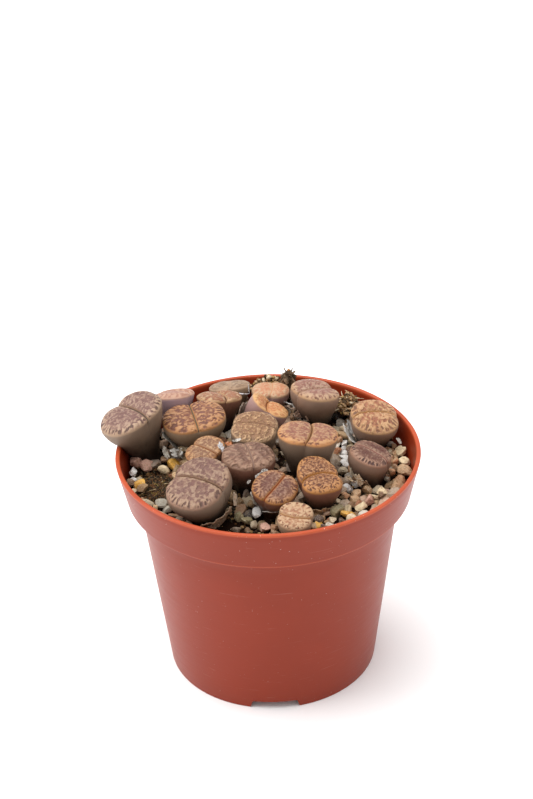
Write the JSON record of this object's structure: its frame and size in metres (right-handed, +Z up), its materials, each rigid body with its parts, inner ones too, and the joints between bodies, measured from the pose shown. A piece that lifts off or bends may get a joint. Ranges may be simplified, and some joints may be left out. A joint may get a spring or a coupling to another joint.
{
  "type": "potted lithops",
  "caption": "Clump of living-stone succulents with split, patterned leaf pairs, growing in grit in a round terracotta-coloured nursery pot",
  "frame": {"origin": "middle of the overall box, on the plane that the pot stands on; the pot's own axis is 3.2 mm to +X of it, because one head leans out over the rim on the -X side", "axes": "+Z up out of the pot; -Y is the side seen first; +X to the viewer's right"},
  "size_m": [0.1262, 0.12, 0.1112],
  "materials": {
    "pot_plastic": "satin terracotta-coloured plastic",
    "soil": "matte, crumbly potting soil",
    "gravel": "matte mixed quartz grit",
    "grey_skin": "smooth leaf skin with a mottled face",
    "brown_skin": "smooth leaf skin with a mottled face",
    "orange_skin": "smooth leaf skin with a mottled face",
    "dry_leaf": "papery, dry",
    "dry_flower": "shrivelled, dry",
    "litter": "dry straw and old leaf"
  },
  "bodies": {
    "root": {"pot": "pot_plastic", "soil": "soil", "gravel": "gravel", "leaf_pair_01": "grey_skin", "leaf_pair_02": "brown_skin", "leaf_pair_03": "orange_skin", "leaf_pair_04": "grey_skin", "leaf_pair_05": "orange_skin", "leaf_pair_06": "orange_skin", "leaf_pair_07": "orange_skin", "leaf_pair_08": "brown_skin", "leaf_pair_09": "orange_skin", "leaf_pair_10": "grey_skin", "leaf_pair_11": "brown_skin", "leaf_pair_12": "brown_skin", "leaf_pair_13": "orange_skin", "leaf_pair_14": "brown_skin", "leaf_pair_15": "grey_skin", "leaf_pair_16": "brown_skin", "leaf_pair_17": "orange_skin", "leaf_pair_18": "orange_skin", "dry_sheath_1": "dry_leaf", "dry_sheath_2": "dry_leaf", "dry_sheath_3": "dry_leaf", "dry_sheath_4": "dry_leaf", "dry_sheath_5": "dry_leaf", "dry_sheath_6": "dry_leaf", "dry_sheath_7": "dry_leaf", "dry_sheath_8": "dry_leaf", "dry_sheath_9": "dry_leaf", "dry_flower": "dry_flower", "dry_litter_1": "litter", "dry_litter_2": "litter"}
  },
  "joints": []
}
